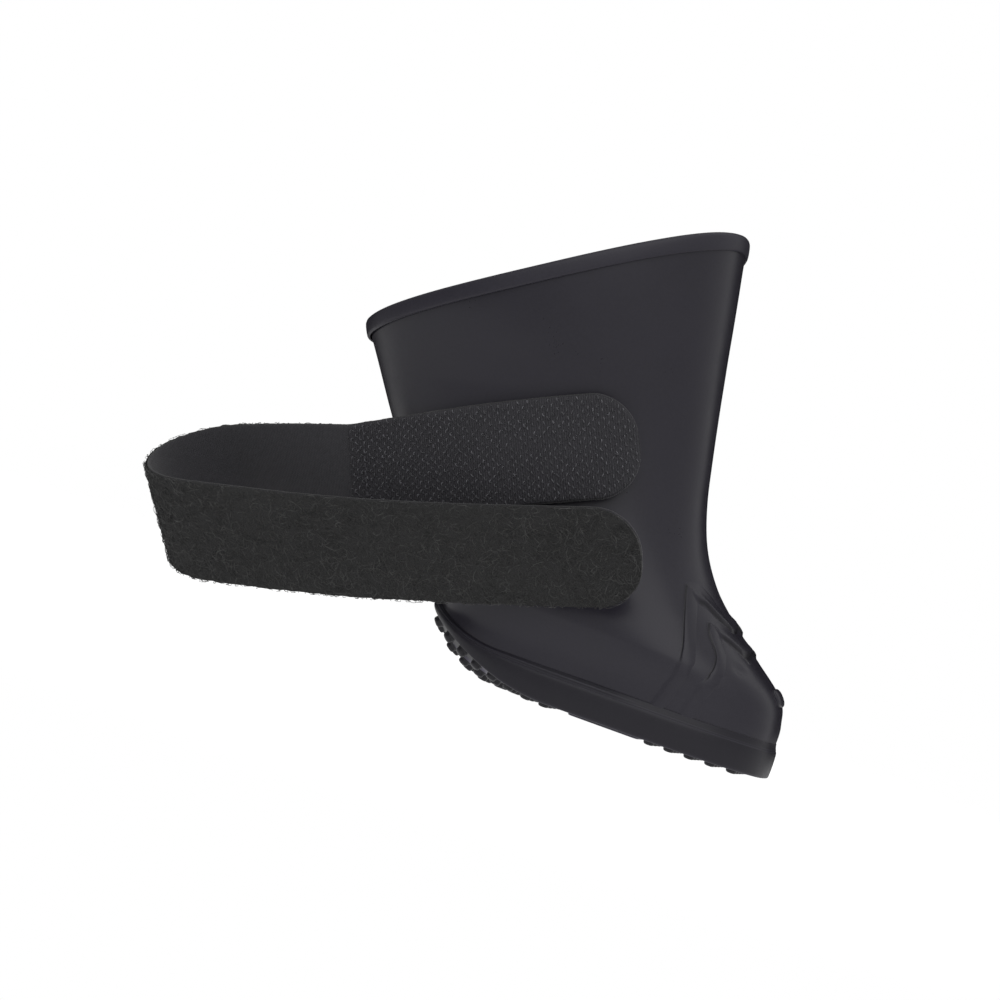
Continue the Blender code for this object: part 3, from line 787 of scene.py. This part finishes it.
# Sections of a rib: (across, from its back or top edge at 0 to the other at 1, height share, more height)
FOOT_SECTION = [(-0.32, 0, -0.4), (-0.3, 0, -0.12), (-0.2, 0, 0), (-0.1, 0.15, 0), (0.06, 0.7, 0),
                (0.2, 1.0, 0), (0.5, 1.0, 0), (0.74, 0.96, 0), (0.88, 0.6, 0), (0.98, 0.1, 0),
                (1.06, 0, -0.12), (1.1, 0, -0.4)]
LEG_SECTION = [(-0.17, 0, -0.4), (-0.16, 0, 0.04), (-0.05, 0, 0.03), (-0.01, 0.1, 0.03), (0.03, 0.8, 0),
               (0.12, 1.0, 0), (0.4, 0.96, 0), (0.66, 0.72, 0), (0.88, 0.36, 0), (1.08, 0.1, 0),
               (1.25, 0, -0.12), (1.3, 0, -0.4)]
BRANCH_SECTION = [(-0.5, 0, -0.4), (-0.45, 0, -0.12), (-0.25, 0.04, 0), (0.0, 0.16, 0), (0.25, 0.42, 0),
                  (0.48, 0.76, 0), (0.7, 1.0, 0), (0.84, 0.9, 0), (0.95, 0.2, 0.03), (1.03, 0, 0.03),
                  (1.26, 0, 0.03), (1.28, 0, -0.4)]
LEG_HEIGHT = 0.45
LEG_FOOT_HEIGHT = 0.3
BRANCH_HEIGHT = 0.65
LEG_STEPS = 70
BRANCH_STEPS = 44


def on_skin(line):
    return [(level, turn_at(level, x)) for x, level in ((x, level_of(x, z)) for x, z in line)]


def make_rib(name, rib, node):
    """A raised chevron: a leg up the side, a sharp corner, a branch over the front, then the same mirrored.

    A station's last value goes from -1 at the leg's foot section, by 0 on the leg, to 1 on the branch.
    """
    back, toe = on_skin(rib["leg_back"]), on_skin(rib["leg_toe"])
    top = on_skin(rib["branch_top"]) + [(rib["front"][0], 0.0)]
    foot = on_skin(rib["branch_foot"]) + [(rib["front"][1], 0.0)]
    stations = []
    for i in range(LEG_STEPS):
        t = i / LEG_STEPS
        height = mix(LEG_FOOT_HEIGHT, LEG_HEIGHT, ease(t / 0.6))
        stations.append((smooth_line(back, t), smooth_line(toe, t), height, -ease((0.36 - t) / 0.14)))
    for i in range(BRANCH_STEPS + 1):
        t = i / BRANCH_STEPS
        height = mix(LEG_HEIGHT, BRANCH_HEIGHT, ease(t / 0.3))
        stations.append((smooth_line(top, t), smooth_line(foot, t), height, ease(t / 0.1)))
    stations += [(Vector((a.x, -a.y)), Vector((b.x, -b.y)), h, s) for a, b, h, s in stations[-2::-1]]
    rings, uvs = [], []
    for a, b, height, branch in stations:
        ring = []
        for spots in zip(LEG_SECTION, BRANCH_SECTION if branch > 0 else FOOT_SECTION):
            across, share, flat = (mix(u, v, abs(branch)) for u, v in zip(*spots))
            place = a.lerp(b, across)
            ring.append(skin_point(place.x, place.y, height * share + flat))
            # the second coordinate places the painted crease shade
            uvs.append((branch, across))
        rings.append(ring)
    solid(name, rings, rib_look, nodes=[node], sharp=70, uvs=uvs)


BUMPER_STEPS = 32
BUMPER_ROWS = 24
BUMPER_ROUNDNESS = 3.2


def make_bumper():
    """A small pad on the tip of the toe, crowned, with rounded edges."""
    width, square = ring_shape(BUMPER_LEVEL)[2:]
    rings = []
    for i in range(BUMPER_STEPS + 1):
        u = math.cos(math.pi * (1 - i / BUMPER_STEPS))
        y = BUMPER_HALF_WIDTH * u
        turn = math.copysign(math.asin(min(1.0, (abs(y) / width) ** (square / 2))), y)
        tall = (1 - abs(u) ** BUMPER_ROUNDNESS) ** (1 / BUMPER_ROUNDNESS) * BUMPER_HALF_HEIGHT / FRONT_LENGTH
        tall += 0.0004
        ring = []
        for k in range(BUMPER_ROWS + 1):
            v = math.cos(math.pi * (1 - k / BUMPER_ROWS))
            swell = max(0.0, (1 - abs(v) ** 3) * (1 - abs(u) ** 4)) ** 0.45
            ring.append(skin_point(BUMPER_LEVEL + tall * v, turn, BUMPER_STAND * swell + 0.02))
        ring += [skin_point(BUMPER_LEVEL + tall * v, turn, -0.5) for v in (1.0, -1.0)]
        rings.append(ring)
    solid("toe_bar", rings, bumper_look, nodes=["toe_bumper"], sharp=70)


# ---- strap ----

class Station:
    """One place along the strap: middle of the web, directions along, across and out of the pile face."""

    def __init__(self, at, along, across):
        self.at = at
        self.along = along.normalized()
        face = self.along.cross(across)
        self.pile = face.normalized()
        self.across = across / face.length


def slanted(tilt, lean=0.0):
    """The line across a strap that is tilted back and leans out at its foot, in degrees."""
    tilt, lean = math.radians(tilt), math.radians(lean)
    return Vector((-math.sin(tilt) * math.cos(lean), -math.sin(lean), math.cos(tilt) * math.cos(lean)))


def heading(slope, yaw, towards):
    """The direction of a strap that rises and turns outwards, in degrees; towards is 1 or -1 along x."""
    slope, yaw = math.radians(slope), math.radians(yaw)
    return Vector((math.cos(slope) * math.cos(yaw), -math.sin(yaw), math.sin(slope))) * towards


def anchor_route(steps=24):
    """The bonded stretch, down the side of the shaft."""
    a = math.radians(ANCHOR_SLOPE)
    down = Vector((-math.cos(a), 0, -math.sin(a)))
    half = STRAP_WIDTH / 2 - ANCHOR_INSET
    across = slanted(ANCHOR_SLOPE)
    route = []
    for i in range(steps + 1):
        p = Vector((ANCHOR_TIP[0], 0, ANCHOR_TIP[1])) + down * (BONDED * i / steps)
        upper, middle, lower = (side_of_boot(p.x + across.x * w, p.z + across.z * w)
                                for w in (half, 0, -half))
        middle = max(middle, (upper + lower) / 2)
        lean = (Vector((across.x, 0, across.z)) * 2 * half + Vector((0, lower - upper, 0))).normalized()
        route.append((Vector((p.x, -middle - LIFT, p.z)), lean))
    return route


def straight_route(at, across, way, length, last, steps=12):
    return [(at + way * (length * i / steps), across.lerp(last, i / steps)) for i in range(1, steps + 1)]


def bend_route(start, begin, finish, fold, steps=48):
    """Round the fold, from one direction to the other, with the line across held along the fold."""
    first = (begin - fold * begin.dot(fold)).normalized()
    side = fold.cross(first)
    last = (finish - fold * finish.dot(fold)).normalized()
    sweep = math.atan2(last.dot(side), last.dot(first)) % (2 * math.pi)
    route, at, before = [], start.copy(), None
    for i in range(steps + 1):
        part = i / steps
        rise = begin.dot(fold) * (1 - part) + finish.dot(fold) * part
        round_line = first * math.cos(sweep * part) + side * math.sin(sweep * part)
        along = fold * rise + round_line * math.sqrt(1 - rise * rise)
        if before is not None:
            at = at + (along + before) / 2 * (BEND_RADIUS * sweep / steps)
        before = along
        route.append((at.copy(), fold))
    return route


def strap_route(steps=54):
    """(middle, line across) all along the strap, and the middles of its three hinges."""
    route = anchor_route()
    leave = (route[-1][0] - route[-2][0]).normalized()
    fold = slanted(FOLD_TILT, FOLD_LEAN)
    route += straight_route(*route[-1], leave, PATCH_LENGTH - BONDED, slanted(ANCHOR_SLOPE))
    hinges = [route[-1][0]]
    run = heading(RUN_SLOPE, math.degrees(math.asin(leave.y)), -1)
    route += straight_route(*route[-1], run, RUN_LENGTH, fold)
    hinges.append(route[-1][0])
    route += bend_route(route[-1][0], run, heading(TAIL_START_SLOPE, TAIL_YAW, 1), fold)[1:]
    hinges.append(route[-1][0])
    at, before = route[-1][0], None
    for i in range(steps + 1):
        settled = ease(TAIL_LENGTH * i / steps / TAIL_SETTLE)
        slope = mix(TAIL_START_SLOPE, TAIL_SLOPE, settled)
        along = heading(slope, TAIL_YAW, 1)
        if before is not None:
            at = at + (along + before) / 2 * (TAIL_LENGTH / steps)
            route.append((at.copy(), fold.lerp(slanted(slope, TAIL_LEAN), settled)))
        before = along
    return route, hinges


def mean_near(values, n, reach):
    reach = min(reach, n, len(values) - 1 - n)
    return sum(values[n - reach:n + reach + 1], Vector((0, 0, 0))) / (2 * reach + 1)


class Strap:
    """The strap's middle line, evenly divided and eased over its kinks."""

    def __init__(self, spacing=0.7, ease_over=3.0):
        route, hinges = strap_route()
        marks = [0.0]
        for (a, _), (b, _) in zip(route, route[1:]):
            marks.append(marks[-1] + (b - a).length)
        self.length = marks[-1]
        self.hinges = [marks[min(range(len(route)), key=lambda i: (route[i][0] - h).length)] for h in hinges]
        count = int(self.length / spacing)
        self.step = self.length / count
        at, across, i = [], [], 0
        for n in range(count + 1):
            s = n * self.step
            while i < len(marks) - 2 and marks[i + 1] < s:
                i += 1
            part = (s - marks[i]) / (marks[i + 1] - marks[i])
            at.append(route[i][0].lerp(route[i + 1][0], part))
            across.append(route[i][1].lerp(route[i + 1][1], part))
        reach = int(ease_over / self.step)
        at, across = ([mean_near(values, n, reach) for n in range(count + 1)] for values in (at, across))
        self.stations = [Station(at[n], at[min(n + 1, count)] - at[max(n - 1, 0)], across[n])
                         for n in range(count + 1)]

    def place(self, s):
        """The station at a distance along, between the two nearest."""
        n = clamp(s / self.step, 0.0, len(self.stations) - 1.001)
        i = int(n)
        a, b, part = self.stations[i], self.stations[i + 1], n - i
        return Station(a.at.lerp(b.at, part), a.along.lerp(b.along, part), a.across.lerp(b.across, part))

    def point(self, s, w, h):
        """s along, w across and h out of the pile face."""
        here = self.place(s)
        return here.at + here.across * w + here.pile * h

    def half(self, s, margin=0.0):
        """Half width there, less at the rounded ends."""
        half = STRAP_WIDTH / 2 - margin
        back = min(s - margin, self.length - s - margin)
        if back < END_CORNER:
            half -= END_CORNER - math.sqrt(max(0.0, END_CORNER ** 2 - (END_CORNER - max(back, 0.0)) ** 2))
        return max(half, MIN_HALF)


strap = Strap()
H1, H2, H3 = strap.hinges
SPLIT_1 = (H1 + H2) / 2
SPLIT_2 = (H2 + H3) / 2
# (name, start, end, (first body, second body, their hinge), the CAD's stretches it stands for)
STRETCHES = [("anchor", 0.0, SPLIT_1, ("boot", "strap_run", H1), ["anchor"]),
             ("run", SPLIT_1, SPLIT_2, ("strap_run", "strap_bend", H2), ["run", "bend"]),
             ("tail", SPLIT_2, strap.length, ("strap_bend", "strap_tail", H3), ["tail"])]
LAYER_COLUMNS = 16
LAYER_ARC = 0.94  # of a half circle; it crowds the columns at the edges


def stretch_marks(start, end, step=0.75):
    """Distances to section at, closer together round a rounded end."""
    marks = []
    s = start
    while s < end - 0.01:
        marks.append(s)
        near = min(s, strap.length - s)
        s += 0.12 if near < 0.6 else 0.35 if near < 4 else step
    return marks + [end]


def layer(name, start, end, low, high, mat, body, nodes, margin=0.0, rounding=0.25, ragged=0.0):
    """One layer of the tape between two heights, with rounded edges, over a stretch of the strap."""
    rings, uvs = [], []
    for s in stretch_marks(start, end):
        half = strap.half(s, margin) + ragged * noise.noise(Vector((s * 0.9, low * 9, 3)))
        ring = []
        for k in range(LAYER_COLUMNS + 1):
            turn = (k / LAYER_COLUMNS - 0.5) * math.pi * LAYER_ARC
            w = half * math.sin(turn) / math.sin(LAYER_ARC / 2 * math.pi)
            inside = min(1.0, (half - abs(w)) / rounding / 2)
            ring.append((w, low + (1 - inside) ** 2 * rounding))
        ring += [(w, high - (h - low)) for w, h in ring[::-1]]
        here = strap.place(s)
        rings.append([here.at + here.across * w + here.pile * h for w, h in ring])
        uvs += [(s, w) for w, _ in ring]
    solid(name, rings, mat, body=body, nodes=nodes, uvs=uvs, sharp=60)


EDGE_FUZZ = 0.05
LOOP_SINK = 0.08  # how deep the yarn's ends are in the ground
LOOP_DENSITY = {"anchor": 0.8, "run": 1.3, "tail": 1.45}  # loops on each square millimetre
LOOPS_PER_STRAND = 6
LOOP_YARN = ((0.7, 2.0), 7, (0.15, 0.45), 0.07)  # reaches, knots, heights, radius
STRAND_YARN = ((1.5, 4.5), 12, (0.35, 0.75), 0.055)


def yarn_paths(start, end, count, base, reaches, knots, talls):
    """Curly strands that rise out of the pile's ground, wander over it and go back in."""
    paths = []
    for _ in range(count):
        s = rng.uniform(start + 0.3, end - 0.3)
        half = strap.half(s)
        w = rng.uniform(-half, half)
        turn = rng.uniform(0, 2 * math.pi)
        bend = rng.gauss(0, 0.9)
        stride = rng.uniform(*reaches) / (knots - 1)
        tall = rng.uniform(*talls)
        path = []
        for k in range(knots):
            out = math.sin(k / (knots - 1) * math.pi) ** 0.6 * tall
            here_s = clamp(s, start, end)
            edge = strap.half(here_s) + EDGE_FUZZ
            path.append(strap.point(here_s, clamp(w, -edge, edge), base - LOOP_SINK + out))
            s += math.cos(turn) * stride
            w += math.sin(turn) * stride
            turn += bend / (knots - 1) * 2
        paths.append(path)
    return paths


def make_strap():
    face, top = WEB / 2, WEB / 2 + PILE_BASE
    for name, start, end, body, stretches in STRETCHES:
        web, pile = (["strap_" + kind + "_" + n for n in stretches] for kind in ("web", "pile"))
        layer("tape_" + name, start, end, -face, face, web_look, body, web, ragged=0.1)
        layer("pile_" + name, start, end, face + 0.01, top, pile_look, body, pile, margin=0.1, rounding=0.2,
              ragged=0.35)
        count = int((end - start) * STRAP_WIDTH * LOOP_DENSITY[name])
        for kind, share, yarn, mat in (("pile_loops_", 1, LOOP_YARN, loop_look),
                                       ("pile_strands_", LOOPS_PER_STRAND, STRAND_YARN, strand_look)):
            paths = yarn_paths(start, end, count // share, top, *yarn[:3])
            piece(kind + name, *tubes(paths, yarn[3], 3), mat, body=body, slot=pile[0], sharp=None)


PATCH_INSET = (0.45, 1.4)  # of its ground from the strap's tip and from the hinge
HOOK_PITCH_ALONG = 1.15
HOOK_PITCH_ACROSS = 2.08
HOOK_START = 1.4
HOOK_RADIUS = 0.1
# (along, height) of a hook's points, and of the cut one beside it
HOOK_SHAPE = [(-0.3, 0.0), (-0.34, 0.4), (-0.26, 0.72), (-0.02, 0.9), (0.24, 0.82), (0.36, 0.58)]
HOOK_STUMP = [(0.3, 0.0), (0.32, 0.3), (0.26, 0.6)]
STITCHES = 13
STITCH_ROW = 4.0  # from the patch's end
STITCH_RADIUS = 0.16
STITCH_INSET = 1.2


def make_patch():
    """The hook tape on the anchor end: its ground, rows of hooks, and the thread row at its heel end."""
    face = -WEB / 2
    start, end = PATCH_INSET[0], H1 - PATCH_INSET[1]
    body = ("boot", "strap_run", H1)
    top = face - PATCH_BASE
    layer("patch_ground", start, end, top, face - 0.01, patch_look, body, ["hook_patch"], margin=0.4,
          rounding=0.18, ragged=0.06)

    def on_patch(s, w):
        return abs(w) <= strap.half(s, 0.4) - 0.3

    paths = []
    column, s = 0, HOOK_START
    while s < end - 0.4:
        for r in range(-6, 7):
            w = (r + 0.5 * (column % 2)) * HOOK_PITCH_ACROSS + rng.gauss(0, 0.15)
            here_s = s + rng.gauss(0, 0.13)
            if not on_patch(here_s, w):
                continue
            way = rng.choice((1, -1))
            tall = rng.uniform(0.75, 1.0)
            slant = rng.gauss(0.25, 0.2)
            paths.append([strap.point(here_s + slant * f, w + way * f, top + 0.05 - u * tall)
                          for f, u in HOOK_SHAPE])
            w += HOOK_PITCH_ACROSS / 2 * way + rng.gauss(0, 0.2)
            here_s += 0.5 * HOOK_PITCH_ALONG + rng.gauss(0, 0.15)
            if on_patch(here_s, w):
                paths.append([strap.point(here_s + slant * f + 0.3, w + way * f * 0.5, top + 0.05 - u * tall)
                              for f, u in HOOK_STUMP])
        column += 1
        s += HOOK_PITCH_ALONG
    piece("patch_hooks", *tubes(paths, HOOK_RADIUS, 4), hook_look, body=body, slot="hook_patch", sharp=None)

    stitches = []
    half = STRAP_WIDTH / 2 - STITCH_INSET
    for i in range(STITCHES):
        w0, w1 = (-half + 2 * half * (i + part) / STITCHES for part in (0.12, 0.88))
        stitches.append([strap.point(end - STITCH_ROW, mix(w0, w1, part),
                                     top - 0.02 - 0.16 * math.sin(math.pi * part))
                         for part in (k / 5 for k in range(6))])
    piece("patch_stitches", *tubes(stitches, STITCH_RADIUS, 8), thread_look, body=body,
          nodes=["patch_stitching"], sharp=None)


make_upper()
make_rim()
make_side_wall()
make_sole()
make_rib("chevron_rib_outer", RIB_OUTER, "instep_rib_outer")
make_rib("chevron_rib_inner", RIB_INNER, "instep_rib_inner")
make_bumper()
make_strap()
make_patch()

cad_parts["insole"].material_slots[0].material = fibre("insole_felt", INSOLE, 0.35, 0.9)
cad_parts["strap_bond_pad"].material_slots[0].material = rubber("bond_rubber", SOLE, 0.6)


# ---- stage, light and camera ----

def camera_axes():
    yaw, rise, roll = (math.radians(a) for a in VIEW_TURNS)
    back = Vector((math.sin(yaw) * math.cos(rise), -math.cos(yaw) * math.cos(rise), math.sin(rise)))
    level_right = Vector((0, 0, 1)).cross(back).normalized()
    level_up = back.cross(level_right)
    right = level_right * math.cos(roll) + level_up * math.sin(roll)
    up = level_up * math.cos(roll) - level_right * math.sin(roll)
    return right, up, back


def make_camera():
    right, up, back = camera_axes()
    data = bpy.data.cameras.new("camera")
    data.lens = LENS
    data.sensor_width = SENSOR
    data.clip_start, data.clip_end = CLIP
    camera = placed("camera", data)
    turn = Matrix((right, up, back)).transposed().to_4x4()
    camera.matrix_world = Matrix.Translation((VIEW_TARGET + back * VIEW_DISTANCE) * MM) @ turn
    bpy.context.scene.camera = camera


# The softbox, in metres and watts; its place is right, up and back in the camera's axes
KEY_PLACE = (0.2, 0.9, 0.9)
KEY_SIZE = (1.6, 1.2)
KEY_POWER = 3.5


def make_softbox():
    target = VIEW_TARGET * MM
    at = sum((axis * reach for axis, reach in zip(camera_axes(), KEY_PLACE)), target)
    data = bpy.data.lights.new("key", "AREA")
    data.shape = "RECTANGLE"
    data.size, data.size_y = KEY_SIZE
    data.energy = KEY_POWER
    lamp = placed("key", data)
    lamp.location = at
    lamp.rotation_mode = "QUATERNION"
    lamp.rotation_quaternion = (target - at).to_track_quat("-Z", "Y")
    lamp.visible_camera = False


# Brightness of the surroundings: (cosine of the angle from the camera's side, brightness)
SURROUND = [(-1.0, 0.0), (-0.68, 0.0), (-0.60, 0.62), (-0.38, 0.40), (0.2, 0.36), (1.0, 0.46)]
ABOVE_GAIN = 0.35
LEFT_DIM = 0.6
FAR_LEFT = -0.8  # cosine of the angle from the camera's right


def make_world():
    """White to the eye. As light: black behind the boot, a pale ring round it and dim on the camera's side,
    with more from above and less from the left."""
    world = bpy.data.worlds.new("studio")
    bpy.context.scene.world = world
    world.use_nodes = True
    world.node_tree.nodes.clear()
    sky = Nodes(world.node_tree)
    right, _, back = camera_axes()
    where = sky.node("TexCoord").outputs["Generated"]
    ramp = sky.node("ValToRGB", {"Fac": sky.span(sky.vector("DOT_PRODUCT", where, back), 0.0, 1.0, -1.0)})
    stops = ramp.color_ramp.elements
    while len(stops) < len(SURROUND):
        stops.new(0.5)
    for stop, (cosine, bright) in zip(stops, SURROUND):
        stop.position = (cosine + 1) / 2
        stop.color = (bright, bright, bright, 1)
    above = sky.math("MULTIPLY_ADD", sky.split(where)[2], ABOVE_GAIN, 1.0)
    left = sky.span(sky.vector("DOT_PRODUCT", where, right), 1.0, 1 - LEFT_DIM, 0.0, FAR_LEFT)
    lit = sky.node("Background", {"Color": ramp.outputs["Color"], "Strength": sky.times(above, left)})
    seen = sky.node("Background", {"Color": (1, 1, 1)})
    shaders = (sky.node("LightPath").outputs["Is Camera Ray"], lit.outputs[0], seen.outputs[0])
    sky.node("OutputWorld", {"Surface": sky.node("MixShader", enumerate(shaders)).outputs[0]})


# The floor: its disc in millimetres, and the fade and glow of its shader in metres
FLOOR_RADIUS = 420.0
FLOOR_MIDDLE = -45.0
FLOOR_DROP = 0.05
FLOOR_SIDES = 96
FLOOR_COLOUR = (0.3, 0.3, 0.3)
FLOOR_FADE = (0.10, 0.40)
FLOOR_GLOW = 0.46
GLOW_ENDS = (0.09, 0.15)  # behind the boot, between these y


def make_floor():
    """A pale round floor under the boot that fades out at its edge. Its glow dies out behind the boot."""
    rim = [Vector((FLOOR_RADIUS * math.cos(a) + FLOOR_MIDDLE, FLOOR_RADIUS * math.sin(a), -FLOOR_DROP))
           for a in around(FLOOR_SIDES)]
    mesh = bpy.data.meshes.new("floor")
    mesh.from_pydata([tuple(p * MM) for p in rim], [], [tuple(range(FLOOR_SIDES))])
    floor = placed("floor", mesh)
    look = Look("pale_floor")
    where = look.place()
    glow = look.span(look.split(where)[1], FLOOR_GLOW, 0.0, *GLOW_ENDS)
    fade = look.span(look.vector("DISTANCE", where, (FLOOR_MIDDLE * MM, 0, 0)), 1.0, 0.0, *FLOOR_FADE)
    fade.node.interpolation_type = "SMOOTHSTEP"
    seen = look.node("LightPath").outputs["Is Camera Ray"]
    bright = look.math("MAXIMUM", seen, glow)
    look.fill(look.shader, {"Base Color": FLOOR_COLOUR, "Roughness": 0.9, "Specular IOR Level": 0.0,
                            "Emission Color": (1, 1, 1), "Emission Strength": bright, "Alpha": fade})
    mesh.materials.append(look.mat)


make_world()
make_floor()
make_camera()
make_softbox()
view = bpy.context.scene.view_settings
view.view_transform = "Standard"
view.look = "None"
